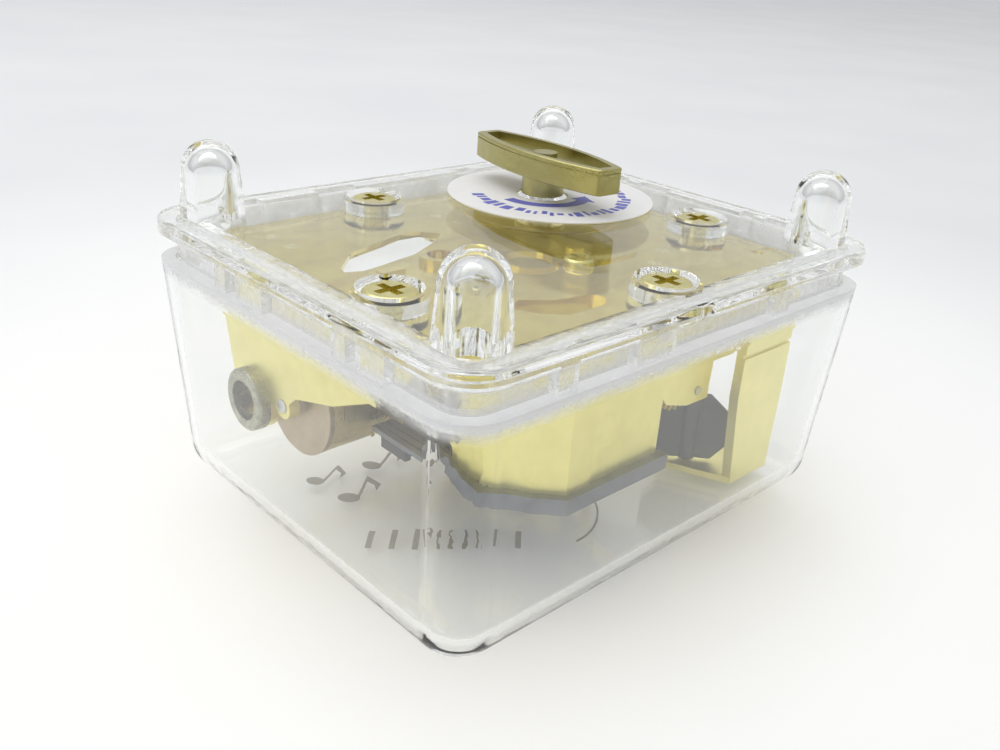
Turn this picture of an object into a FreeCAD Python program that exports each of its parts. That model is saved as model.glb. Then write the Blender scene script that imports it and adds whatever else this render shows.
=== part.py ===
import FreeCAD, Part
import os, math
from FreeCAD import Vector as V

os.makedirs("parts", exist_ok=True)

# ---------------------------------------------------------------- driving dimensions (mm)
# frame: +Z up, the closed flat face of the case stands on z = 0, lid and winding key up.
# case tub (half sizes of the rounded rectangle outline)
TUB_H = 26.7                     # height of the open rim
TUB_TOP = (31.9, 26.75, 4.6)     # half length, half width, corner radius at the rim
TUB_BOT = (30.3, 25.5, 4.9)      # the same at the table, the walls lean out by the moulding draft
WALL = 1.5
FLOOR = 1.5
ROUND_OUT, ROUND_IN = 4.0, 2.8     # rounding between floor and walls, outside and inside
# lid
LID_Z0, LID_Z1 = 29.4, 31.4      # underside and top of the lid plate
LID = (31.95, 26.95, 4.6)
LIP = (30.2, 25.05, 3.1)         # outer outline of the lip that enters the tub
LIP_WALL = 1.4
LIP_Z0 = 25.2
LUG_OUT = 1.15                   # lugs that stand the lid off the rim of the tub
FOOT_XY = (26.4, 21.4)
FOOT_R0, FOOT_R1, FOOT_TOP = 3.55, 3.08, 39.5
FOOT_BORE, FOOT_BORE_TOP = 1.75, 37.9
# movement fixings
SCREW_XY = [(-6.1, 19.5), (0.6, -20.2), (22.9, -7.6), (-24.0, -7.3)]
POST_R = 3.7
SEAT_Z, BORE_R = 29.9, 3.3       # counterbore in the lid for the screw heads
GAP = 0.03                       # moulded posts just clear of the polished plate
# bedplate
PLATE = (25.7, 21.6, 2.6)
PLATE_X = -0.6                   # the plate sits slightly off centre under the lid
PLATE_Z0, PLATE_Z1 = 26.6, 28.0
# winding axis
KX, KY = 12.3, 9.0
LABEL_X, LABEL_Y, LABEL_R = 13.3, 8.6, 13.0   # paper disc, stuck on a little off the axis
ARBOR_R = 1.6
FIT = 0.05                       # radial running clearance of every journal
# crown wheel
M_CROWN = 48
R_CROWN = 9.3                    # mean pitch radius
PITCH_Z = 16.4                   # pitch plane of the crown teeth
CROWN_TIP_Z, CROWN_ROOT_Z, CROWN_TOP_Z = 16.1, 16.75, 17.9
# pinions on the crown
N_CYL, N_GOV = 18, 8
MOD_P = 2 * math.pi * R_CROWN / M_CROWN          # linear pitch
R_CYL_P = R_CROWN * N_CYL / M_CROWN
R_GOV_P = R_CROWN * N_GOV / M_CROWN
CYL_Z = PITCH_Z - R_CYL_P        # axis of the cylinder
GOV_Z = PITCH_Z - R_GOV_P        # axis of the governor arbor
# pinned cylinder
CYL_R, CYL_RI, PIN_TIP = 6.2, 5.6, 6.55
CYL_X0, CYL_X1 = -22.4, 0.5
SHAFT_R = 0.8
TRACKS, TRACK_P = 18, 1.0
TRACK_X0 = -17.3                 # first track
# comb
COMB_Z0, COMB_Z1 = 9.3, 11.1
TIP_Y = KY - 6.4
# worm and fan
T_WHEEL = 20
WORM_P = 1.05
R_WHEEL = WORM_P * T_WHEEL / (2 * math.pi)
R_WORM = 1.05
FX, FY = KX + R_WHEEL + R_WORM, -14.3
FAN_R, FAN_Z0, FAN_Z1 = 4.8, 3.3, 12.0


# ---------------------------------------------------------------- helpers
def rr(hx, hy, r, z):
    """Closed rounded rectangle wire about the Z axis."""
    k = r * math.sqrt(0.5)
    e = []
    for sx, sy, a in ((1, 1, 0), (-1, 1, 1), (-1, -1, 2), (1, -1, 3)):
        cx, cy = sx * (hx - r), sy * (hy - r)
        if a in (0, 2):
            p0, p2 = V(cx + sx * r, cy, z), V(cx, cy + sy * r, z)
        else:
            p0, p2 = V(cx, cy + sy * r, z), V(cx + sx * r, cy, z)
        e.append((p0, V(cx + sx * k, cy + sy * k, z), p2))
    edges = []
    for i in range(4):
        p0, pm, p2 = e[i]
        edges.append(Part.Arc(p0, pm, p2).toShape())
        edges.append(Part.makeLine(p2, e[(i + 1) % 4][0]))
    return Part.Wire(edges)


def rr_solid(hx, hy, r, z0, z1):
    return Part.Face(rr(hx, hy, r, z0)).extrude(V(0, 0, z1 - z0))


def rr_loft(a, z0, b, z1):
    return Part.makeLoft([rr(*a, z0), rr(*b, z1)], True, True)


def bx(x0, x1, y0, y1, z0, z1):
    return Part.makeBox(x1 - x0, y1 - y0, z1 - z0, V(x0, y0, z0))


def cz(x, y, r, z0, z1):
    return Part.makeCylinder(r, z1 - z0, V(x, y, z0), V(0, 0, 1))


def cx_(y, z, r, x0, x1):
    return Part.makeCylinder(r, x1 - x0, V(x0, y, z), V(1, 0, 0))


def cy_(x, z, r, y0, y1):
    return Part.makeCylinder(r, y1 - y0, V(x, y0, z), V(0, 1, 0))


def prism_z(pts, z0, z1):
    w = Part.makePolygon([V(x, y, z0) for x, y in pts] + [V(pts[0][0], pts[0][1], z0)])
    return Part.Face(w).extrude(V(0, 0, z1 - z0))


def prism_x(pts, x0, x1):
    w = Part.makePolygon([V(x0, y, z) for y, z in pts] + [V(x0, pts[0][0], pts[0][1])])
    return Part.Face(w).extrude(V(x1 - x0, 0, 0))


def prism_y(pts, y0, y1):
    w = Part.makePolygon([V(x, y0, z) for x, z in pts] + [V(pts[0][0], y0, pts[0][1])])
    return Part.Face(w).extrude(V(0, y1 - y0, 0))


def gear_pts(n, r_root, r_tip, w_root, w_tip, phase):
    """Toothed outline; phase is the direction of one tooth, in radians."""
    out = []
    for i in range(n):
        a = phase + 2 * math.pi * i / n
        c, s = math.cos(a), math.sin(a)
        for rad, off in ((r_root, -w_root / 2), (r_tip, -w_tip / 2), (r_tip, w_tip / 2), (r_root, w_root / 2)):
            rad = math.sqrt(max(rad * rad - off * off, 0))
            out.append((rad * c - off * s, rad * s + off * c))
    return out


def fillet(shape, r, pick):
    edges = [e for e in shape.Edges if pick(e)]
    return shape.makeFillet(r, edges)


def save(shape, name):
    if not shape.isValid():
        print("INVALID", name)
    shape.exportStep("parts/%s.step" % name)


# ---------------------------------------------------------------- case tub
def at_level(z):
    t = z / TUB_H
    return tuple(b + (a - b) * t for a, b in zip(TUB_TOP, TUB_BOT))


outer = rr_loft(TUB_BOT, 0, TUB_TOP, TUB_H)
outer = fillet(outer, ROUND_OUT, lambda e: e.BoundBox.ZMax < 0.01)
f0 = at_level(FLOOR)
inner = rr_loft((f0[0] - WALL, f0[1] - WALL, f0[2] - WALL), FLOOR,
                (TUB_TOP[0] - WALL + 0.006, TUB_TOP[1] - WALL + 0.005, TUB_TOP[2] - WALL), TUB_H + 0.1)
inner = fillet(inner, ROUND_IN, lambda e: e.BoundBox.ZMax < FLOOR + 0.01)
case_tub = outer.cut(inner)
save(case_tub, "case_tub")

# printed motif on the floor of the tub: three notes, a sweep and a row of bars
PRT0, PRT1 = FLOOR, FLOOR + 0.04


def note(x, y, s, rot):
    head = Part.Face(Part.Wire([Part.Ellipse(V(0, 0, 0), 1.5 * s, 1.1 * s).toShape()])).extrude(V(0, 0, PRT1 - PRT0))
    stem = bx(1.0 * s, 1.4 * s, 0, 6.0 * s, 0, PRT1 - PRT0)
    flag = prism_z([(1.2 * s, 6.0 * s), (3.4 * s, 4.4 * s), (3.2 * s, 2.6 * s), (2.6 * s, 4.0 * s), (1.2 * s, 4.8 * s)], 0, PRT1 - PRT0)
    n = head.fuse([stem, flag]).removeSplitter()
    n.rotate(V(0, 0, 0), V(0, 0, 1), rot)
    n.translate(V(x, y, PRT0))
    return n


motif = [note(-20.6, 9.6, 0.72, -62), note(-19.6, 4.2, 0.85, -50), note(-13.2, 8.6, 0.8, -58)]
for i in range(7):
    b = bx(-0.32, 0.32, -1.6 - 0.16 * (i % 3), 1.6 + 0.16 * (i % 3), 0, PRT1 - PRT0)
    b.rotate(V(0, 0, 0), V(0, 0, 1), -45)
    b.translate(V(-22.6 + 1.95 * i, -4.0 - 1.5 * i, PRT0))
    motif.append(b)
ringa = cz(-6.0, -8.0, 9.2, PRT0, PRT1).cut(cz(-6.0, -8.0, 8.95, PRT0 - 1, PRT1 + 1))
motif.append(ringa.common(bx(-6, 6, -19, -6.5, PRT0, PRT1)))
save(Part.makeCompound([s for m in motif for s in m.Solids]), "floor_print")

# ---------------------------------------------------------------- case lid
plate = rr_solid(*LID, LID_Z0, LID_Z1)
plate = fillet(plate, 0.45, lambda e: e.BoundBox.ZMin > LID_Z1 - 0.01 or e.BoundBox.ZMax < LID_Z0 + 0.01)
lip = rr_solid(*LIP, LIP_Z0, LID_Z0 + 0.3).cut(
    rr_solid(LIP[0] - LIP_WALL, LIP[1] - LIP_WALL, LIP[2] - LIP_WALL, LIP_Z0 - 1, LID_Z0 + 1))
adds = [lip]
for sx in (-1, 1):
    for y, h in ((-14.2, 2.0), (-9.6, 1.0), (5.6, 2.4), (11.2, 1.0)):
        x0, x1 = sorted((sx * (LIP[0] - 0.3), sx * (LIP[0] + LUG_OUT)))
        adds.append(bx(x0, x1, y - h, y + h, TUB_H, LID_Z0 + 0.3))
for sy in (-1, 1):
    for x, h in ((-19.5, 1.2), (-7.6, 2.8), (13.4, 1.3)):
        y0, y1 = sorted((sy * (LIP[1] - 0.3), sy * (LIP[1] + LUG_OUT)))
        adds.append(bx(x - h, x + h, y0, y1, TUB_H, LID_Z0 + 0.3))
for x, y in SCREW_XY:
    adds.append(cz(x, y, POST_R, PLATE_Z1 + GAP, LID_Z0 + 0.3))
cuts = []
for sx in (-1, 1):
    for sy in (-1, 1):
        x, y = sx * FOOT_XY[0], sy * FOOT_XY[1]
        zc = FOOT_TOP - FOOT_R1
        cone = Part.makeCone(FOOT_R0, FOOT_R1, zc - LID_Z1 + 0.4, V(x, y, LID_Z1 - 0.4), V(0, 0, 1))
        ball = Part.makeSphere(FOOT_R1, V(x, y, zc))
        adds.append(cone.fuse(ball))
        zb = FOOT_BORE_TOP - FOOT_BORE
        cuts.append(cz(x, y, FOOT_BORE, LID_Z0 - 1, zb).fuse(Part.makeSphere(FOOT_BORE, V(x, y, zb))))
for x, y in SCREW_XY:
    cuts.append(cz(x, y, 1.35, PLATE_Z1 - 1, LID_Z1 + 1))
    cuts.append(cz(x, y, BORE_R, SEAT_Z, LID_Z1 + 1))
cuts.append(cz(KX, KY, 3.1, LID_Z0 - 1, LID_Z1 + 1))
case_lid = plate.fuse(adds).cut(cuts).removeSplitter()
save(case_lid, "case_lid")

# ---------------------------------------------------------------- paper disc on the lid
save(cz(LABEL_X, LABEL_Y, LABEL_R, LID_Z1 + 0.02, LID_Z1 + 0.16).cut(cz(KX, KY, 3.3, LID_Z1 - 1, LID_Z1 + 1)), "direction_label")

# ---------------------------------------------------------------- screws through the lid into the bedplate
def cross_screw(x, y, z_seat, head_r, head_h, shank_r, z_end, down=True, arm=0.62, deep=0.8):
    """Pan head on z_seat, shank toward z_end; down=True puts the shank below the head."""
    s = 1 if down else -1
    top = z_seat + s * head_h
    a, b = sorted((z_seat, top))
    head = cz(x, y, head_r, a, b)
    head = fillet(head, head_h * 0.45, lambda e: abs(e.CenterOfMass.z - top) < 0.01 and e.Length > 4 * head_r)
    a, b = sorted((z_seat + s * 0.1, z_end))
    sh = head.fuse(cz(x, y, shank_r, a, b))
    zc0, zc1 = sorted((top - s * deep, top + s * 1))
    w = arm * head_r
    c1 = bx(x - w, x + w, y - 0.16 * head_r, y + 0.16 * head_r, zc0, zc1)
    c2 = bx(x - 0.16 * head_r, x + 0.16 * head_r, y - w, y + w, zc0, zc1)
    return sh.cut([c1, c2]).removeSplitter()


save(Part.makeCompound([cross_screw(x, y, SEAT_Z, 2.75, 1.2, 1.2, 26.7, arm=0.58, deep=0.7).Solids[0] for x, y in SCREW_XY]), "movement_screws")

# ---------------------------------------------------------------- bedplate
bed = rr_solid(*PLATE, PLATE_Z0, PLATE_Z1)
bed.translate(V(PLATE_X, 0, 0))
bed = fillet(bed, 0.3, lambda e: e.BoundBox.ZMin > PLATE_Z1 - 0.01)
WINDOW = [(-22.2, 2.6), (-21.8, 3.8), (-18.2, 7.3), (-9.6, 9.6), (-7.0, 9.4), (-5.4, 7.6),
          (-8.0, 5.6), (-12.6, 3.4), (-16.4, 2.6), (-20.4, 1.9)]
holes = [prism_z(WINDOW, PLATE_Z0 - 1, PLATE_Z1 + 1), cz(KX, KY, ARBOR_R + FIT, PLATE_Z0 - 1, PLATE_Z1 + 1)]
# the casting is thinned from below behind the window, so its edge is thin there
for k in (0.5, 1.0):
    thin_u = prism_z(WINDOW, PLATE_Z0 - 1, PLATE_Z1 - 0.4)
    thin_u.translate(V(1.3 * k, 1.9 * k, 0))
    holes.append(thin_u)
# recess cast in the plate over the comb pedestal
POCKET = [(-15.0, -13.6), (-13.4, -16.6), (-11.4, -18.4), (-6.2, -18.4), (-4.9, -17.2), (-5.2, -15.9), (-9.8, -14.8), (-12.6, -12.8)]
holes.append(prism_z(POCKET, PLATE_Z1 - 0.9, PLATE_Z1 + 1))
for x, y in SCREW_XY:
    holes.append(cz(x, y, 1.2, PLATE_Z0 - 1, PLATE_Z1 + 1))
boss = cz(-11.6, 0.2, 2.3, PLATE_Z1 - 0.2, PLATE_Z1 + 0.7)
ring = cz(-3.7, -5.1, 3.3, PLATE_Z1 - 0.2, PLATE_Z1 + 0.35).cut(cz(-3.7, -5.1, 2.6, PLATE_Z1 - 1, PLATE_Z1 + 1))
ribs = [bx(2.6, 8.6, -9.9, -9.3, PLATE_Z1 - 0.2, PLATE_Z1 + 0.3), cz(3.6, -5.0, 1.1, PLATE_Z1 - 0.2, PLATE_Z1 + 0.45),
        bx(-19.8, -16.9, -0.6, 0.6, PLATE_Z1 - 0.2, PLATE_Z1 + 0.4)]
bed = bed.fuse([boss, ring] + ribs)
RIVETS = [(-22.2, 16.2), (-22.2, 12.4), (-1.2, 13.6), (-1.2, 10.2), (12.5, -10.4), (8.0, -13.0)]
holes += [cz(-11.6, 0.2, 1.5, PLATE_Z0 - 1, PLATE_Z1 + 2), cz(18.6, -13.4, 0.9, PLATE_Z0 - 1, PLATE_Z1 + 1)]
for x, y in RIVETS:
    holes.append(cz(x, y, 0.8, PLATE_Z0 - 1, PLATE_Z1 + 1))
PED_SCREWS = [(-14.0, -8.6), (0.4, -8.6)]
for x, y in PED_SCREWS:
    holes.append(cz(x, y, 0.9, PLATE_Z0 - 1, PLATE_Z1 + 1))
BR_SCREWS = [(21.6, -17.2), (24.0, -17.2)]
for x, y in BR_SCREWS:
    holes.append(cz(x, y, 0.7, PLATE_Z0 - 1, PLATE_Z1 + 1))
bed = bed.cut(holes).removeSplitter()
# shallow ring groove round the winding arbor and a stamped border line
groove = cz(KX, KY, 10.6, PLATE_Z1 - 0.15, PLATE_Z1 + 1).cut(cz(KX, KY, 10.1, PLATE_Z1 - 1, PLATE_Z1 + 1))
bed = bed.cut(groove)
save(bed, "bedplate")

# ---------------------------------------------------------------- left frame wall with the cylinder bearing
WALL_X0, WALL_X1 = -25.0, -23.8
BUSH_Y, BUSH_Z = 15.0, 11.6
side = prism_x([(20.6, PLATE_Z0), (20.6, 19.4), (19.6, 15.6), (18.6, 11.6), (11.4, 11.6), (10.6, 12.6), (8.5, 12.9),
                (6.3, 14.8), (-0.6, 16.8), (-8.0, 20.2), (-13.0, 24.4), (-14.2, PLATE_Z0)], WALL_X0, WALL_X1)
side = side.fuse([cx_(BUSH_Y, BUSH_Z, 3.6, WALL_X0, WALL_X1), cx_(KY, CYL_Z, 1.5, WALL_X0, WALL_X1),
                  bx(WALL_X1 - 0.2, -20.6, 10.6, 18.2, PLATE_Z0 - 1.0, PLATE_Z0)])
side = side.cut([cx_(BUSH_Y, BUSH_Z, 3.0, WALL_X0 - 1, WALL_X1 + 1), cx_(KY, CYL_Z, SHAFT_R + FIT, WALL_X0 - 1, WALL_X1 + 1),
                 cz(-22.2, 16.2, 0.8, 20, 30), cz(-22.2, 12.4, 0.8, 20, 30)]).removeSplitter()
save(side, "frame_side_wall")

bush = cx_(BUSH_Y, BUSH_Z, 3.7, WALL_X0 - 1.4, WALL_X0)
bush = fillet(bush, 0.35, lambda e: e.BoundBox.XMax < WALL_X0 - 1.39)
bush = bush.fuse(cx_(BUSH_Y, BUSH_Z, 3.0, WALL_X0 - 0.2, WALL_X1 + 0.3)).cut(cx_(BUSH_Y, BUSH_Z, 2.35, -30, -20)).removeSplitter()
save(bush, "stop_rod_bush")

# right bearing of the cylinder, between the drum and its pinion
bear = bx(0.9, 1.9, KY - 3.0, KY + 3.0, CYL_Z, PLATE_Z0).fuse([cx_(KY, CYL_Z, 3.0, 0.9, 1.9),
        bx(-2.8, 1.0, KY - 0.2, KY + 7.0, PLATE_Z0 - 1.0, PLATE_Z0)])
bear = bear.cut([cx_(KY, CYL_Z, SHAFT_R + FIT, 0, 3), cz(-1.2, 13.6, 0.8, 20, 30), cz(-1.2, 10.2, 0.8, 20, 30)]).removeSplitter()
save(bear, "cylinder_bearing_post")

# ---------------------------------------------------------------- comb pedestal
PED = [(-16.4, -14.4), (-14.5, -17.6), (-12.0, -20.0), (2.4, -20.0), (2.4, -5.6), (-16.4, -5.6)]
ped = prism_z(PED, COMB_Z1, PLATE_Z0)
PED_IN = [(-15.1, -13.8), (-13.4, -16.7), (-11.4, -18.6), (1.0, -18.6), (1.0, -10.4), (-15.1, -10.4)]
ped = ped.cut(prism_z(PED_IN, COMB_Z1 + 3.0, PLATE_Z0 + 1))
ped = ped.cut([bx(-8.6, 3.0, -20.5, -19.72, COMB_Z1 - 1, 18.2),
               bx(-17, 3, -5.6 - 1.6, -5, COMB_Z1 - 1, COMB_Z1 + 7.0)])
CS = [(-12.6, -13.6), (-1.4, -13.6)]
pc = [cz(x, y, 1.0, COMB_Z1 - 1, COMB_Z1 + 2.6) for x, y in CS]
pc += [cz(x, y, 0.9, PLATE_Z0 - 3.2, PLATE_Z0 + 1) for x, y in PED_SCREWS]
ped = ped.cut(pc).removeSplitter()
save(ped, "comb_pedestal")
save(Part.makeCompound([cross_screw(x, y, PLATE_Z1, 1.7, 0.8, 0.9, PLATE_Z0 - 3.0, deep=0.5).Solids[0] for x, y in PED_SCREWS]), "pedestal_screws")

# ---------------------------------------------------------------- comb: eighteen steel teeth on one plate
xa = TRACK_X0 - 0.5
xb = TRACK_X0 + (TRACKS - 1) * TRACK_P + 0.5
base = prism_z([(xa, -6.4), (xa, -14.6), (-15.0, -18.4), (-12.6, -20.8), (3.2, -20.8), (3.2, -7.0), (xb, -2.6)], COMB_Z0, COMB_Z1)
thin = prism_z([(xa - 1, -6.4 + 1.6 - 0.235 * 1), (xa - 1, 6), (xb + 4, 6), (xb + 4, -1.0 + 0.235 * 3), (xb, -1.0)], COMB_Z0 - 1, COMB_Z0 + 1.05)
teeth = []
for i in range(TRACKS):
    x = TRACK_X0 + i * TRACK_P
    root = -6.4 + (x - xa) * (3.8 / (xb - xa)) - 0.5
    teeth.append(bx(x - 0.4, x + 0.4, root, TIP_Y, COMB_Z0 + 1.05, COMB_Z1 - 0.15))
comb = base.fuse(teeth)
comb = comb.cut([cz(x, y, 1.0, COMB_Z0 - 1, COMB_Z1 + 1) for x, y in CS]).removeSplitter()
save(comb, "comb")
save(Part.makeCompound([cross_screw(x, y, COMB_Z0, 2.1, 1.0, 1.0, COMB_Z1 + 2.4, down=False, deep=0.6).Solids[0] for x, y in CS]), "comb_screws")
# lead weights under the longest teeth
wts = []
for i in range(7):
    x = TRACK_X0 + i * TRACK_P
    wts.append(bx(x - 0.36, x + 0.36, -3.4 + 0.42 * i, 0.9, COMB_Z0 + 1.05 - 1.25 + 0.13 * i, COMB_Z0 + 1.05))
save(Part.makeCompound(wts), "comb_weights")

# ---------------------------------------------------------------- pinned cylinder
drum = cx_(KY, CYL_Z, CYL_R, CYL_X0, CYL_X1).cut(cx_(KY, CYL_Z, CYL_RI, CYL_X0 - 1, CYL_X1 + 1))
pins = []
seed = 7
for i in range(TRACKS):
    x = TRACK_X0 + i * TRACK_P
    n = 5 + (i * 5) % 3
    for j in range(n):
        seed = (seed * 1103515245 + 12345) % 2147483648
        a = 2 * math.pi * (j + 0.15 + 0.6 * (seed / 2147483648.0)) / n
        d = V(0, math.cos(a), math.sin(a))
        p = V(x, KY, CYL_Z) + d * (CYL_R - 0.3)
        pins.append(Part.makeCylinder(0.2, PIN_TIP - CYL_R + 0.3, p, d))
drum = drum.fuse(pins).removeSplitter()
save(drum, "pinned_cylinder")

cap_l = cx_(KY, CYL_Z, 6.25, CYL_X0 - 0.6, CYL_X0).fuse(cx_(KY, CYL_Z, CYL_RI, CYL_X0 - 0.1, CYL_X0 + 0.8))
cap_l = cap_l.cut(cx_(KY, CYL_Z, SHAFT_R, -30, 10)).removeSplitter()
cap_r = cx_(KY, CYL_Z, CYL_RI, CYL_X1 - 0.9, CYL_X1).cut(cx_(KY, CYL_Z, SHAFT_R, -30, 10))
save(Part.makeCompound([cap_l.Solids[0], cap_r.Solids[0]]), "cylinder_end_caps")

save(cx_(KY, CYL_Z, SHAFT_R, WALL_X0 - 0.1, 4.4), "cylinder_shaft")

g = gear_pts(N_CYL, R_CYL_P - 0.64, R_CYL_P + 0.27, 0.50, 0.26, math.pi / 2 + math.pi / N_CYL)
pin_c = prism_x([(KY + a, CYL_Z + b) for a, b in g], KX - R_CROWN - 0.6, KX - R_CROWN + 0.6)
pin_c = pin_c.cut(cx_(KY, CYL_Z, SHAFT_R, -30, 10))
save(pin_c, "cylinder_pinion")

# ---------------------------------------------------------------- spring housing, cover, spring
HOUS_R, HOUS_RI, HOUS_Z0 = 9.9, 9.0, 18.8
hous = cz(KX, KY, HOUS_R, HOUS_Z0, PLATE_Z0).cut(cz(KX, KY, HOUS_RI, HOUS_Z0 - 1, PLATE_Z0 + 1))
save(hous, "spring_housing")
save(cz(KX, KY, HOUS_R, HOUS_Z0 - 0.6, HOUS_Z0).cut(cz(KX, KY, ARBOR_R + FIT, 10, 30)), "housing_cover")


def spiral_strip(r_in, turns, gap, thick, z0, z1):
    """Strip of half-circle arcs with alternating centres."""
    def side_edges(off):
        out = []
        r = r_in + off
        c = 0.0
        d = 1
        for i in range(int(turns * 2)):
            # half circle from angle 0 or pi about centre c
            if d > 0:
                p0, pm, p2 = V(c + r, 0, z0), V(c, r, z0), V(c - r, 0, z0)
            else:
                p0, pm, p2 = V(c - r, 0, z0), V(c, -r, z0), V(c + r, 0, z0)
            out.append(Part.Arc(p0, pm, p2).toShape())
            c += (gap / 2 if d > 0 else -gap / 2)
            r += gap / 2
            d = -d
        return out
    a = side_edges(0.0)
    b = side_edges(thick)
    pa0 = a[0].Vertexes[0].Point
    pb0 = b[0].Vertexes[0].Point
    pa1 = a[-1].Vertexes[-1].Point
    pb1 = b[-1].Vertexes[-1].Point
    w = Part.Wire(Part.__sortEdges__(a + b + [Part.makeLine(pa0, pb0), Part.makeLine(pa1, pb1)]))
    return Part.Face(w).extrude(V(0, 0, z1 - z0))


spring = spiral_strip(2.75, 8.0, 0.70, 0.28, 19.4, 25.9)
spring.translate(V(KX, KY, 0))
save(spring, "mainspring")

# ---------------------------------------------------------------- winding train
save(cz(KX, KY, ARBOR_R, 15.2, 33.4), "winding_arbor")
save(cz(KX, KY, 2.45, 19.3, 26.0).cut(cz(KX, KY, ARBOR_R, 10, 40)), "spring_collar")
save(cz(KX, KY, 2.6, 15.5, CROWN_TIP_Z).cut(cz(KX, KY, ARBOR_R, 10, 40)).cut(bx(KX - 0.6, KX + 0.6, KY - 4, KY, 15, 17)), "arbor_clip")
crown = cz(KX, KY, 10.2, CROWN_ROOT_Z, CROWN_TOP_Z)
ct = [cz(KX, KY, 3.6, CROWN_TIP_Z, CROWN_ROOT_Z + 0.1)]
for i in range(M_CROWN):
    b = bx(8.55, 10.1, -0.2, 0.2, CROWN_TIP_Z, CROWN_ROOT_Z + 0.1)
    b.rotate(V(0, 0, 0), V(0, 0, 1), 360.0 * i / M_CROWN)
    b.translate(V(KX, KY, 0))
    ct.append(b)
crown = crown.fuse(ct)
cc = [cz(KX, KY, ARBOR_R, 10, 40)]
for i in range(5):
    a = math.radians(72 * i + 20)
    cc.append(cz(KX + 6.1 * math.cos(a), KY + 6.1 * math.sin(a), 1.55, 10, 20))
crown = crown.cut(cc).removeSplitter()
save(crown, "great_wheel")

# key: a round stem and a long blade with a raised rim
def blade(half_l, half_w, end_w, z0, z1):
    pl = [V(-end_w, -half_l, z0), V(-half_w, 0, z0), V(-end_w, half_l, z0)]
    pr = [V(end_w, half_l, z0), V(half_w, 0, z0), V(end_w, -half_l, z0)]
    w = Part.Wire([Part.Arc(*pl).toShape(), Part.makeLine(pl[2], pr[0]), Part.Arc(*pr).toShape(), Part.makeLine(pr[2], pl[0])])
    return Part.Face(w).extrude(V(0, 0, z1 - z0))


KEY_Z0, KEY_Z1 = 34.2, 37.3
KEY_L, KEY_W, KEY_E = 11.8, 3.75, 1.75       # half length, half width at the middle and at the ends
key = blade(KEY_L, KEY_W, KEY_E, KEY_Z0, KEY_Z1)
key = fillet(key, 0.75, lambda e: abs(e.BoundBox.ZLength - (KEY_Z1 - KEY_Z0)) < 0.01)
key = fillet(key, 0.22, lambda e: e.BoundBox.ZMin > KEY_Z1 - 0.01 or e.BoundBox.ZMax < KEY_Z0 + 0.01)
key = key.cut(blade(KEY_L - 1.1, KEY_W - 0.85, KEY_E - 0.75, KEY_Z1 - 0.9, KEY_Z1 + 1))
# fine step round the side, just under the rim
key = key.cut(blade(KEY_L + 1, KEY_W + 1, KEY_E + 1, KEY_Z1 - 0.62, KEY_Z1 - 0.46).cut(blade(KEY_L - 0.14, KEY_W - 0.14, KEY_E - 0.14, KEY_Z1 - 1, KEY_Z1)))
key = key.fuse(cz(0, 0, 1.5, KEY_Z0 + 0.5, KEY_Z1 - 0.4))
key.rotate(V(0, 0, 0), V(0, 0, 1), -4.5)
key.translate(V(KX, KY, 0))
key = key.fuse(cz(KX, KY, 2.65, LID_Z1 + 0.35, KEY_Z0 + 0.5)).cut(cz(KX, KY, ARBOR_R, 20, 33.4)).removeSplitter()
save(key, "winding_key")

# ---------------------------------------------------------------- governor
EAR1 = (-3.7, -2.7)
EAR2 = (-17.4, -16.4)
front = [(4.0, PLATE_Z0), (4.0, 17.6), (6.6, 14.6), (10.6, 13.4), (14.4, 13.4), (14.6, 18.0), (18.6, 18.0), (18.8, 20.4),
         (19.2, 22.6), (19.6, PLATE_Z0)]
gf = prism_y(front, *EAR2)
gf = gf.fuse([bx(11.0, 14.0, *EAR1, GOV_Z, PLATE_Z0), cy_(KX, GOV_Z, 1.5, *EAR1),
              bx(11.0, 14.0, EAR2[0], EAR1[1], PLATE_Z0 - 1.0, PLATE_Z0),
              bx(6.4, 11.2, EAR2[0], -11.6, PLATE_Z0 - 1.0, PLATE_Z0),
              bx(15.1, 18.6, EAR2[1] - 0.2, -12.7, 18.0, 19.0)])
gf = gf.cut([cy_(KX, GOV_Z, 0.5 + FIT, -20, 2), cz(FX, FY, 0.3 + FIT, 17, 20),
             cz(12.5, -10.4, 0.8, 20, 30), cz(8.0, -13.0, 0.8, 20, 30)]).removeSplitter()
save(gf, "governor_frame")
save(Part.makeCompound([cz(x, y, 1.3, PLATE_Z0 - 1.6, PLATE_Z0 - 1.0).fuse(cz(x, y, 0.8, PLATE_Z0 - 1.1, PLATE_Z1)).removeSplitter().Solids[0]
                        for x, y in RIVETS]), "frame_rivets")

BRY0, BRY1 = -20.7, -19.5
br = prism_y([(15.8, PLATE_Z0), (15.8, 14.0), (17.3, 2.1), (25.0, 2.1), (25.3, 14.0), (25.3, PLATE_Z0)], BRY0, BRY1)
br = br.fuse([prism_z([(17.3, BRY0), (25.0, BRY0), (25.0, -14.6), (20.8, -11.4), (14.2, -11.2), (14.0, -13.0), (15.6, -16.8)], 2.1, 2.9),
              bx(20.2, 25.3, BRY1 - 0.2, -15.6, PLATE_Z0 - 1.0, PLATE_Z0)])
br = br.cut([cz(FX, FY, 0.3 + FIT, 1, 4), bx(15, 26, BRY0 - 1, BRY0 + 0.3, 19.0, 19.5)]
            + [cz(x, y, 0.7, 20, 30) for x, y in BR_SCREWS]).removeSplitter()
save(br, "governor_bracket")
save(Part.makeCompound([cross_screw(x, y, PLATE_Z0 - 1.0, 1.1, 0.7, 0.7, PLATE_Z1 - 0.2, down=False, deep=0.4).Solids[0] for x, y in BR_SCREWS]), "bracket_screws")

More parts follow.
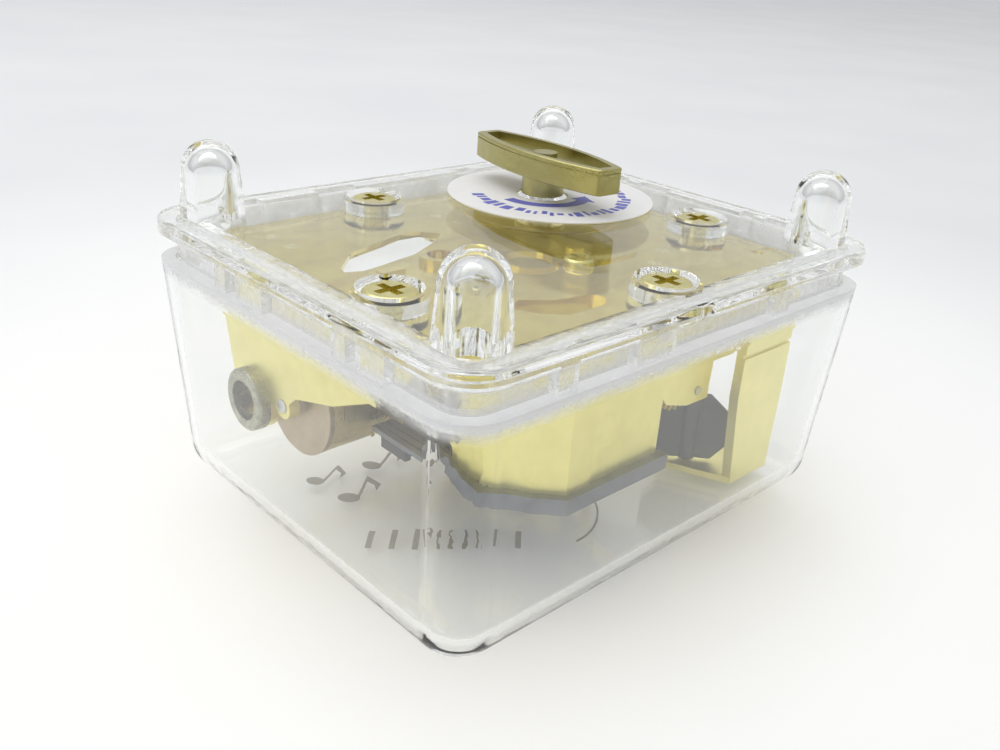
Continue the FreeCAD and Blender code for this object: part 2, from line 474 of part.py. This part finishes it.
save(cy_(KX, GOV_Z, 0.5, EAR2[0] - 0.2, 0.4), "governor_arbor")
g = gear_pts(N_GOV, R_GOV_P - 0.56, R_GOV_P + 0.25, 0.42, 0.26, math.pi / 2 + math.pi / N_GOV)
pg = prism_y([(KX + a, GOV_Z + b) for a, b in g], KY - R_CROWN - 0.6, KY - R_CROWN + 0.6).cut(cy_(KX, GOV_Z, 0.5, -20, 5))
save(pg, "governor_pinion")
g = gear_pts(T_WHEEL, R_WHEEL - 0.42, R_WHEEL + 0.24, 0.44, 0.24, 0.0)
ww = prism_y([(KX + a, GOV_Z + b) for a, b in g], FY - 0.45, FY + 0.45)
ww = ww.fuse(cy_(KX, GOV_Z, 1.5, FY - 0.9, FY + 1.3)).cut(cy_(KX, GOV_Z, 0.5, -20, 5)).removeSplitter()
save(ww, "worm_wheel")

# worm: right-hand thread, one start
hz0 = GOV_Z - 2 * WORM_P
helix = Part.makeHelix(WORM_P, 4 * WORM_P, 0.66)
prof = Part.makePolygon([V(0.60, 0, -0.17), V(1.25, 0, -0.10), V(1.25, 0, 0.10), V(0.60, 0, 0.17), V(0.60, 0, -0.17)])
thread = Part.Wire(helix).makePipeShell([Part.Wire(prof)], True, True)
thread.translate(V(FX, FY, hz0))
core = cz(FX, FY, 0.7, hz0 - 0.35, hz0 + 4 * WORM_P + 0.35)
shaft = cz(FX, FY, 0.5, 3.0, hz0).fuse([core, cz(FX, FY, 0.5, hz0 + 4 * WORM_P, 17.9), cz(FX, FY, 0.3, 2.2, 18.9)])
worm = shaft.fuse(thread).removeSplitter()
print("worm", worm.isValid(), len(worm.Solids), worm.Volume)
save(worm, "worm_shaft")

fan2d = [(-2.0, FAN_Z1), (-FAN_R, FAN_Z1 - 2.6), (-FAN_R, FAN_Z0 + 2.0), (-2.9, FAN_Z0), (2.9, FAN_Z0), (FAN_R, FAN_Z0 + 2.0),
         (FAN_R, FAN_Z1 - 2.6), (2.0, FAN_Z1)]
fan = prism_y(fan2d, -0.25, 0.25).fuse(cz(0, 0, 1.05, FAN_Z0, FAN_Z1)).cut(cz(0, 0, 0.5, 0, 20)).removeSplitter()
fan.rotate(V(0, 0, 0), V(0, 0, 1), -45)
fan.translate(V(FX, FY, 0))
save(fan, "air_brake_fan")
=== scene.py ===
import math

import bpy
import bmesh
from mathutils import Matrix, Vector


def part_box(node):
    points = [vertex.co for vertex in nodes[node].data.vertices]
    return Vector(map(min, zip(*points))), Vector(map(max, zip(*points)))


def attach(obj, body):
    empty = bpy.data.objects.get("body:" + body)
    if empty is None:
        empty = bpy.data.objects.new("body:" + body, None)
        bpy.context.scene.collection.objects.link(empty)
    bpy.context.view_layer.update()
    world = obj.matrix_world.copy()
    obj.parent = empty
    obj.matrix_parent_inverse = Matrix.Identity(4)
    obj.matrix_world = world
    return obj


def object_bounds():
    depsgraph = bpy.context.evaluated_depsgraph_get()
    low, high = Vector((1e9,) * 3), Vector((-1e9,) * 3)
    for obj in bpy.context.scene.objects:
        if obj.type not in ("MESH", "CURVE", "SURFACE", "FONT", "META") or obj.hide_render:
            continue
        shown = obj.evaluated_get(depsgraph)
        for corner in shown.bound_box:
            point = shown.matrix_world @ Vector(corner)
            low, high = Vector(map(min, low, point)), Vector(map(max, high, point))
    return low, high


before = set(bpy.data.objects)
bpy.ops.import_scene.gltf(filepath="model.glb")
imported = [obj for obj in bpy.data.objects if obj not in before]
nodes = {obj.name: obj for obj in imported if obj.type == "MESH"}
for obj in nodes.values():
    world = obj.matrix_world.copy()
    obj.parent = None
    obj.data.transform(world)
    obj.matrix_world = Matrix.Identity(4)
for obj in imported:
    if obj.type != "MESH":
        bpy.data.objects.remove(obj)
cad_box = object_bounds()

MM = 0.001


# ------------------------------------------------------------------ node helpers
class Mat:
    """A material with its node tree and short calls for the usual nodes. Patterns use object coordinates, in metres."""

    def __init__(self, name):
        self.m = bpy.data.materials.new(name)
        self.m.use_nodes = True
        self.nt = self.m.node_tree
        self.nt.nodes.clear()
        self.out = self.add("ShaderNodeOutputMaterial")
        self.co = self.add("ShaderNodeTexCoord").outputs["Object"]

    def add(self, kind, **props):
        n = self.nt.nodes.new(kind)
        for k, v in props.items():
            setattr(n, k, v)
        return n

    def put(self, socket, value):
        if isinstance(value, bpy.types.NodeSocket):
            self.nt.links.new(value, socket)
        else:
            socket.default_value = value

    def stretch(self, scale, rot=(0, 0, 0)):
        n = self.add("ShaderNodeMapping")
        self.put(n.inputs["Vector"], self.co)
        n.inputs["Scale"].default_value = scale
        n.inputs["Rotation"].default_value = rot
        return n.outputs["Vector"]

    def noise(self, mm, detail=3.0, rough=0.5, vec=None, distort=0.0):
        n = self.add("ShaderNodeTexNoise")
        self.put(n.inputs["Vector"], vec or self.co)
        n.inputs["Scale"].default_value = 1000.0 / mm
        n.inputs["Detail"].default_value = detail
        n.inputs["Roughness"].default_value = rough
        n.inputs["Distortion"].default_value = distort
        return n.outputs["Fac"]

    def span(self, value, a, b, lo, hi):
        n = self.add("ShaderNodeMapRange")
        self.put(n.inputs["Value"], value)
        n.inputs["From Min"].default_value = a
        n.inputs["From Max"].default_value = b
        n.inputs["To Min"].default_value = lo
        n.inputs["To Max"].default_value = hi
        return n.outputs["Result"]

    def math(self, op, a, b=0.0):
        n = self.add("ShaderNodeMath", operation=op)
        self.put(n.inputs[0], a)
        self.put(n.inputs[1], b)
        return n.outputs[0]

    def ramp(self, value, stops):
        n = self.add("ShaderNodeValToRGB")
        self.put(n.inputs["Fac"], value)
        el = n.color_ramp.elements
        while len(el) < len(stops):
            el.new(0.5)
        for e, (p, c) in zip(el, stops):
            e.position = p
            e.color = (*c, 1.0)
        return n.outputs["Color"]

    def mix(self, fac, a, b):
        n = self.add("ShaderNodeMix", data_type="RGBA")
        self.put(n.inputs["Factor"], fac)
        for s, v in ((n.inputs[6], a), (n.inputs[7], b)):
            self.put(s, v if isinstance(v, bpy.types.NodeSocket) else (*v, 1.0))
        return n.outputs[2]

    def bump(self, height, strength, mm, normal=None):
        n = self.add("ShaderNodeBump")
        self.put(n.inputs["Height"], height)
        n.inputs["Strength"].default_value = strength
        n.inputs["Distance"].default_value = mm * MM
        if normal is not None:
            self.put(n.inputs["Normal"], normal)
        return n.outputs["Normal"]

    def principled(self, **values):
        n = self.add("ShaderNodeBsdfPrincipled")
        for k, v in values.items():
            s = n.inputs[k.replace("_", " ")]
            if not isinstance(v, bpy.types.NodeSocket) and s.type == "RGBA":
                v = (*v, 1.0)
            self.put(s, v)
        return n

    def surface(self, shader):
        self.nt.links.new(shader, self.out.inputs["Surface"])
        return self.m


def metal(name, dark, light, r_lo, r_hi, blotch=5.0, grain=0.12, pull=(1, 1, 1), bump=0.25, height=0.004,
          wave=0.0, wave_mm=4.0, spots=None, painted_reflection=None):
    """Bare or plated metal: cloudy colour, a fine directional grain in gloss and relief, and an optional slow waviness."""
    t = Mat(name)
    cloud = t.noise(blotch, 3.0, 0.55, distort=0.6)
    fine = t.noise(grain, 4.0, 0.6, t.stretch(pull))
    tone = t.math("ADD", t.math("MULTIPLY", cloud, 0.7), t.math("MULTIPLY", fine, 0.3))
    col = t.ramp(tone, [(0.30, dark), (0.70, light)])
    if spots is not None:
        s = t.span(t.noise(1.4, 5.0, 0.7), 0.60, 0.72, 0.0, 0.75)
        col = t.mix(s, col, spots)
    # brown streaks painted into the colour: painted reflections of darker surroundings in the polished plate, not a
    # stain on it
    if painted_reflection is not None:
        streak = t.noise(6.0, 4.0, 0.6, t.stretch((0.45, 1.6, 1.0), (0, 0, 0.15)), distort=1.2)
        col = t.mix(t.span(streak, 0.52, 0.70, 0.0, 0.42), col, painted_reflection)
    rough = t.span(t.math("ADD", t.math("MULTIPLY", cloud, 0.5), t.math("MULTIPLY", fine, 0.5)), 0.3, 0.7, r_lo, r_hi)
    normal = t.bump(fine, bump, height)
    if wave:
        normal = t.bump(t.noise(wave_mm, 1.0, 0.4), wave, 0.12, normal)
    p = t.principled(Base_Color=col, Metallic=1.0, Roughness=rough, Normal=normal)
    return t.surface(p.outputs["BSDF"])


# ------------------------------------------------------------------ materials
def clear_plastic():
    t = Mat("clear_plastic")
    haze = t.noise(7.0, 4.0, 0.6)
    scuff = t.noise(0.35, 5.0, 0.7, t.stretch((1.0, 0.25, 1.0), (0, 0, 0.6)))
    rough = t.math("ADD", t.span(haze, 0.35, 0.75, 0.0, 0.012), t.span(scuff, 0.66, 0.80, 0.0, 0.05))
    # the band where lid and tub meet: x and y beyond the walls, z between the flange and the lid's top
    xyz = t.add("ShaderNodeSeparateXYZ")
    t.put(xyz.inputs[0], t.co)
    far_x = t.span(t.math("ABSOLUTE", xyz.outputs["X"]), 27.6 * MM, 28.2 * MM, 0.0, 1.0)
    far_y = t.span(t.math("ABSOLUTE", xyz.outputs["Y"]), 23.0 * MM, 23.6 * MM, 0.0, 1.0)
    high = t.span(xyz.outputs["Z"], 24.6 * MM, 25.4 * MM, 0.0, 1.0)
    below = t.span(xyz.outputs["Z"], 29.4 * MM, 30.0 * MM, 1.0, 0.0)
    band = t.math("MULTIPLY", t.math("MAXIMUM", far_x, far_y), t.math("MULTIPLY", high, below))
    cloudy = t.span(t.noise(1.7, 3.0, 0.6), 0.35, 0.65, 0.06, 0.26)
    # milky where the moulding is thick: the edge of the lid's skirt, and the open rim of the tub most of all
    milky = t.math("MULTIPLY", band, t.span(t.noise(2.6, 3.0, 0.6), 0.35, 0.65, 0.16, 0.50))
    rim = t.math("MULTIPLY", band, t.math("MULTIPLY", t.span(xyz.outputs["Z"], 25.7 * MM, 26.3 * MM, 0.0, 0.72),
                                          t.span(xyz.outputs["Z"], 26.72 * MM, 26.9 * MM, 1.0, 0.0)))
    milky = t.math("MAXIMUM", milky, rim)
    rough = t.math("ADD", rough, t.math("MULTIPLY", band, cloudy))
    slow = t.bump(t.noise(9.0, 1.0, 0.3), 0.35, 0.10)
    fine = t.bump(t.noise(1.6, 2.0, 0.5), 0.05, 0.02, slow)
    lumps = t.bump(t.math("MULTIPLY", t.noise(1.3, 2.0, 0.5), band), 0.5, 0.16, fine)
    tint = t.mix(milky, (0.975, 0.985, 0.982), (0.66, 0.66, 0.675))
    p = t.principled(Base_Color=tint, Roughness=rough, Normal=lumps, Transmission_Weight=t.math("SUBTRACT", 1.0, milky))
    p.inputs["IOR"].default_value = 1.53
    path = t.add("ShaderNodeLightPath")
    clear = t.add("ShaderNodeBsdfTransparent")
    clear.inputs["Color"].default_value = (0.988, 0.989, 0.99, 1.0)
    a = t.add("ShaderNodeMixShader")
    t.put(a.inputs[0], path.outputs["Is Shadow Ray"])
    t.put(a.inputs[1], p.outputs["BSDF"])
    t.put(a.inputs[2], clear.outputs[0])
    b = t.add("ShaderNodeMixShader")
    t.put(b.inputs[0], path.outputs["Is Diffuse Ray"])
    t.put(b.inputs[1], a.outputs[0])
    t.put(b.inputs[2], clear.outputs[0])
    return t.surface(b.outputs[0])


def paper():
    t = Mat("label_paper")
    fibre = t.noise(0.18, 5.0, 0.65, t.stretch((1.0, 0.45, 1.0), (0, 0, 0.4)))
    cloud = t.noise(5.0, 2.0, 0.5)
    col = t.ramp(t.math("ADD", t.math("MULTIPLY", fibre, 0.5), t.math("MULTIPLY", cloud, 0.5)),
                 [(0.3, (0.70, 0.695, 0.70)), (0.7, (0.80, 0.795, 0.795))])
    rough = t.span(fibre, 0.3, 0.7, 0.42, 0.6)
    p = t.principled(Base_Color=col, Roughness=rough, Normal=t.bump(fibre, 0.25, 0.02))
    p.inputs["Coat Weight"].default_value = 0.15
    p.inputs["Coat Roughness"].default_value = 0.3
    return t.surface(p.outputs["BSDF"])


def ink(name, dark, light, rough=0.45):
    t = Mat(name)
    dots = t.noise(0.14, 4.0, 0.65)
    cloud = t.noise(2.2, 3.0, 0.6)
    col = t.ramp(t.math("ADD", t.math("MULTIPLY", dots, 0.4), t.math("MULTIPLY", cloud, 0.6)), [(0.32, dark), (0.68, light)])
    p = t.principled(Base_Color=col, Roughness=t.span(dots, 0.3, 0.7, rough - 0.08, rough + 0.12), Normal=t.bump(dots, 0.2, 0.01))
    return t.surface(p.outputs["BSDF"])


def dark_plastic():
    t = Mat("dark_plastic")
    grain = t.noise(0.10, 5.0, 0.65)
    cloud = t.noise(1.8, 3.0, 0.6)
    col = t.ramp(t.math("ADD", t.math("MULTIPLY", grain, 0.5), t.math("MULTIPLY", cloud, 0.5)),
                 [(0.32, (0.040, 0.041, 0.046)), (0.68, (0.078, 0.079, 0.086))])
    p = t.principled(Base_Color=col, Roughness=t.span(grain, 0.3, 0.7, 0.38, 0.56), Normal=t.bump(grain, 0.35, 0.012))
    return t.surface(p.outputs["BSDF"])


finish = {
    "clear_plastic": clear_plastic(),
    "label_paper": paper(),
    "print_ink": ink("print_ink", (0.24, 0.215, 0.175), (0.34, 0.31, 0.26), 0.6),
    "label_ink": ink("label_ink", (0.085, 0.095, 0.42), (0.14, 0.15, 0.54)),
    "dark_plastic": dark_plastic(),
    # gold_plate: its brown streaks are painted reflections, not tarnish
    "gold_plate": metal("gold_plate", (0.70, 0.57, 0.13), (0.90, 0.79, 0.25), 0.05, 0.14, blotch=6.0, grain=0.10,
                        pull=(1, 0.06, 1), bump=0.10, height=0.002, wave=0.55, wave_mm=7.0, painted_reflection=(0.47, 0.31, 0.09)),
    "gold_casting": metal("gold_casting", (0.78, 0.71, 0.25), (0.92, 0.84, 0.34), 0.30, 0.46, blotch=3.5, grain=0.22,
                          bump=0.40, height=0.010),
    "screw_brass": metal("screw_brass", (0.66, 0.60, 0.26), (0.80, 0.74, 0.36), 0.18, 0.34, blotch=1.5, grain=0.08,
                         bump=0.25, height=0.004),
    "key_brass": metal("key_brass", (0.38, 0.34, 0.13), (0.50, 0.46, 0.21), 0.24, 0.36, blotch=5.0, grain=0.09,
                       pull=(1, 0.08, 1), bump=0.22, height=0.004, wave=0.35, wave_mm=3.0),
    "wheel_brass": metal("wheel_brass", (0.62, 0.52, 0.20), (0.76, 0.66, 0.30), 0.22, 0.38, blotch=2.0, grain=0.10,
                         bump=0.25, height=0.004),
    "cylinder_brass": metal("cylinder_brass", (0.58, 0.47, 0.19), (0.74, 0.62, 0.28), 0.22, 0.36, blotch=2.5, grain=0.10,
                            pull=(1, 0.1, 0.1), bump=0.25, height=0.004),
    "copper_cap": metal("copper_cap", (0.36, 0.27, 0.17), (0.50, 0.40, 0.27), 0.28, 0.44, blotch=2.0, grain=0.10,
                        bump=0.25, height=0.004),
    "worn_nickel": metal("worn_nickel", (0.22, 0.215, 0.15), (0.46, 0.45, 0.33), 0.18, 0.34, blotch=1.2, grain=0.10,
                         bump=0.25, height=0.004),
    "bright_steel": metal("bright_steel", (0.52, 0.52, 0.53), (0.70, 0.70, 0.71), 0.16, 0.32, blotch=1.5, grain=0.08,
                          bump=0.20, height=0.003),
    "comb_steel": metal("comb_steel", (0.15, 0.155, 0.17), (0.24, 0.25, 0.275), 0.26, 0.42, blotch=2.0, grain=0.10,
                        pull=(0.1, 1, 1), bump=0.30, height=0.005),
    "spring_steel": metal("spring_steel", (0.16, 0.17, 0.20), (0.30, 0.31, 0.35), 0.24, 0.40, blotch=2.0, grain=0.10,
                          pull=(1, 1, 0.1), bump=0.25, height=0.004),
    "lead": metal("lead", (0.085, 0.085, 0.09), (0.15, 0.15, 0.155), 0.50, 0.68, blotch=0.8, grain=0.12, bump=0.45, height=0.012),
}

wear = {
    "case_tub": "clear_plastic", "case_lid": "clear_plastic", "floor_print": "print_ink", "direction_label": "label_paper",
    "bedplate": "gold_plate", "frame_side_wall": "gold_casting", "cylinder_bearing_post": "gold_casting",
    "comb_pedestal": "gold_casting", "spring_housing": "gold_casting", "governor_frame": "gold_casting",
    "governor_bracket": "gold_casting", "movement_screws": "screw_brass", "pedestal_screws": "screw_brass",
    "comb_screws": "screw_brass", "bracket_screws": "screw_brass", "frame_rivets": "screw_brass",
    "stop_rod_bush": "worn_nickel", "comb": "comb_steel", "comb_weights": "lead", "housing_cover": "wheel_brass",
    "mainspring": "spring_steel", "winding_key": "key_brass", "winding_arbor": "bright_steel",
    "spring_collar": "bright_steel", "arbor_clip": "bright_steel", "great_wheel": "wheel_brass",
    "pinned_cylinder": "cylinder_brass", "cylinder_end_caps": "copper_cap", "cylinder_shaft": "bright_steel",
    "cylinder_pinion": "wheel_brass", "governor_arbor": "bright_steel", "governor_pinion": "bright_steel",
    "worm_wheel": "wheel_brass", "worm_shaft": "bright_steel", "air_brake_fan": "dark_plastic",
}
for name, ob in nodes.items():
    for s in ob.material_slots:
        s.material = finish[wear[name]]


# ------------------------------------------------------------------ printed marks on the paper disc
lo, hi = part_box("direction_label")
LX, LY, LZ = (lo.x + hi.x) / 2, (lo.y + hi.y) / 2, hi.z
LR = (hi.x - lo.x) / 2
INK_T = 0.02 * MM


def flat_piece(name, outlines, z, thick, body, mat):
    """Thin raised marks from closed outlines (lists of x, y in metres, anticlockwise)."""
    bm = bmesh.new()
    for pts in outlines:
        low = [bm.verts.new((x, y, z)) for x, y in pts]
        top = [bm.verts.new((x, y, z + thick)) for x, y in pts]
        bm.faces.new(top)
        bm.faces.new(low[::-1])
        n = len(pts)
        for i in range(n):
            j = (i + 1) % n
            bm.faces.new((low[i], low[j], top[j], top[i]))
    bmesh.ops.recalc_face_normals(bm, faces=bm.faces)
    me = bpy.data.meshes.new(name)
    bm.to_mesh(me)
    bm.free()
    me.materials.append(mat)
    ob = bpy.data.objects.new(name, me)
    bpy.context.scene.collection.objects.link(ob)
    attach(ob, body)
    return ob


def arc_band(r0, r1, a0, a1, n):
    """Outline of a ring segment about the disc's centre, angles in degrees."""
    out = []
    for i in range(n + 1):
        a = math.radians(a0 + (a1 - a0) * i / n)
        out.append((LX + r1 * math.cos(a), LY + r1 * math.sin(a)))
    for i in range(n + 1):
        a = math.radians(a1 + (a0 - a1) * i / n)
        out.append((LX + r0 * math.cos(a), LY + r0 * math.sin(a)))
    return out


marks = []
seed = 11
a = 150.0
while a < 352.0:
    seed = (seed * 1103515245 + 12345) % 2147483648
    w = 2.2 + 5.2 * (seed / 2147483648.0)
    seed = (seed * 1103515245 + 12345) % 2147483648
    inner = (8.3 + 0.9 * (seed / 2147483648.0)) * MM
    seed = (seed * 1103515245 + 12345) % 2147483648
    outer = (10.4 - 0.7 * (seed / 2147483648.0)) * MM
    marks.append(arc_band(inner, outer, a, a + w, 5))
    a += w + 1.9 + 1.6 * (seed % 1000) / 1000.0
flat_piece("label_dashes", marks, LZ, INK_T, "lid", finish["label_ink"])


lo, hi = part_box("winding_arbor")
KX, KY = (lo.x + hi.x) / 2, (lo.y + hi.y) / 2


def arrow(r, half, head_half, a0, a1, head_deg, n=28):
    """Curved arrow about the key's axis: the tail is at a0 and the point at a1."""
    s = 1 if a1 > a0 else -1
    ah = a1 - s * head_deg
    pts = []
    for i in range(n + 1):
        a = math.radians(a0 + (ah - a0) * i / n)
        pts.append((KX + (r + half) * math.cos(a), KY + (r + half) * math.sin(a)))
    a = math.radians(ah)
    pts.append((KX + (r + head_half) * math.cos(a), KY + (r + head_half) * math.sin(a)))
    a = math.radians(a1)
    pts.append((KX + r * math.cos(a), KY + r * math.sin(a)))
    a = math.radians(ah)
    pts.append((KX + (r - head_half) * math.cos(a), KY + (r - head_half) * math.sin(a)))
    for i in range(n + 1):
        a = math.radians(ah + (a0 - ah) * i / n)
        pts.append((KX + (r - half) * math.cos(a), KY + (r - half) * math.sin(a)))
    return pts if s > 0 else pts[::-1]


flat_piece("label_arrow", [arrow(5.4 * MM, 0.75 * MM, 1.6 * MM, 175.0, 318.0, 24.0)], LZ, INK_T, "lid", finish["label_ink"])

# ------------------------------------------------------------------ floor, light, camera
me = bpy.data.meshes.new("floor")
bm = bmesh.new()
bmesh.ops.create_circle(bm, cap_ends=True, segments=96, radius=3.0)
bm.to_mesh(me)
bm.free()
floor = bpy.data.objects.new("floor", me)
floor.location = (0, 0, cad_box[0][2] - 0.00002)
bpy.context.scene.collection.objects.link(floor)
t = Mat("floor_pale")
cl = t.noise(60.0, 3.0, 0.5)
sep = t.add("ShaderNodeSeparateXYZ")
t.put(sep.inputs[0], t.co)
away = t.math("SQRT", t.math("ADD", t.math("POWER", sep.outputs["X"], 2.0), t.math("POWER", sep.outputs["Y"], 2.0)))
# painted light: the floor is coloured lighter within a few centimetres of the object and darker farther out, a painted
# pool of light with painted falloff towards the edges
near = t.ramp(cl, [(0.3, (0.925, 0.922, 0.915)), (0.7, (0.945, 0.942, 0.935))])
far = t.ramp(cl, [(0.3, (0.70, 0.71, 0.73)), (0.7, (0.735, 0.745, 0.76))])
col = t.mix(t.span(away, 0.035, 0.170, 0.0, 1.0), near, far)
p = t.principled(Base_Color=col, Roughness=0.55, Normal=t.bump(t.noise(0.6, 3.0, 0.6), 0.08, 0.02))
me.materials.append(t.surface(p.outputs["BSDF"]))


def area(name, loc, aim, size, watts, colour=(1, 1, 1)):
    d = bpy.data.lights.new(name, "AREA")
    d.shape = "RECTANGLE"
    d.size, d.size_y = size
    d.energy = watts
    d.color = colour
    o = bpy.data.objects.new(name, d)
    o.location = loc
    o.rotation_euler = (Vector(loc) - Vector(aim)).to_track_quat("Z", "Y").to_euler()
    bpy.context.scene.collection.objects.link(o)
    return o


area("soft_top", (-0.05, 0.25, 0.75), (0, 0, 0.01), (0.9, 0.7), 3.1, (1.0, 0.995, 0.985))
area("soft_left", (-0.75, 0.10, 0.40), (0, 0, 0.02), (0.5, 0.5), 0.6, (0.97, 0.985, 1.0))

world = bpy.data.worlds.new("studio")
bpy.context.scene.world = world
world.use_nodes = True
wt = world.node_tree
wt.nodes.clear()
wo = wt.nodes.new("ShaderNodeOutputWorld")
bg = wt.nodes.new("ShaderNodeBackground")
pale = wt.nodes.new("ShaderNodeBackground")
mx = wt.nodes.new("ShaderNodeMixShader")
lp = wt.nodes.new("ShaderNodeLightPath")
tc = wt.nodes.new("ShaderNodeTexCoord")
sx = wt.nodes.new("ShaderNodeSeparateXYZ")
rp = wt.nodes.new("ShaderNodeValToRGB")
wt.links.new(tc.outputs["Generated"], sx.inputs[0])
wt.links.new(sx.outputs["Z"], rp.inputs["Fac"])
for e, (pos, v) in zip([rp.color_ramp.elements[0], rp.color_ramp.elements[1], rp.color_ramp.elements.new(0.2), rp.color_ramp.elements.new(0.45)],
                       [(0.0, 0.66), (1.0, 0.90), (0.20, 0.82), (0.45, 1.0)]):
    e.position = pos
    e.color = (v * 0.985, v * 0.995, v, 1.0)
wt.links.new(rp.outputs["Color"], bg.inputs["Color"])
bg.inputs["Strength"].default_value = 0.77
pale.inputs["Color"].default_value = (0.86, 0.875, 0.89, 1.0)
pale.inputs["Strength"].default_value = 0.95
wt.links.new(lp.outputs["Is Camera Ray"], mx.inputs[0])
wt.links.new(bg.outputs[0], mx.inputs[1])
wt.links.new(pale.outputs[0], mx.inputs[2])
wt.links.new(mx.outputs[0], wo.inputs["Surface"])

az, el, roll = math.radians(-44.655), math.radians(24.822), math.radians(4.045)
target = Vector((-2.786, -1.005, 14.207)) * MM
back = Vector((math.sin(az) * math.cos(el), -math.cos(az) * math.cos(el), math.sin(el)))
right = (-back).cross(Vector((0, 0, 1))).normalized()
up = right.cross(-back)
r2 = right * math.cos(roll) + up * math.sin(roll)
u2 = up * math.cos(roll) - right * math.sin(roll)
cam = bpy.data.cameras.new("camera")
cam.sensor_fit = "HORIZONTAL"
cam.sensor_width = 36.0
cam.lens = 980.21 * 36.0 / 1000.0
cam.clip_start = 0.002
cam.clip_end = 20.0
co = bpy.data.objects.new("camera", cam)
m = Matrix((r2, u2, back)).transposed().to_4x4()
m.translation = target + back * (115.038 * MM)
co.matrix_world = m
bpy.context.scene.collection.objects.link(co)
sc = bpy.context.scene
sc.camera = co
sc.view_settings.view_transform = "Standard"
sc.view_settings.look = "None"
sc.view_settings.exposure = 0.0
sc.cycles.max_bounces = 32
sc.cycles.transmission_bounces = 24
sc.cycles.transparent_max_bounces = 24
sc.cycles.glossy_bounces = 24
sc.cycles.diffuse_bounces = 4
sc.cycles.blur_glossy = 0.3
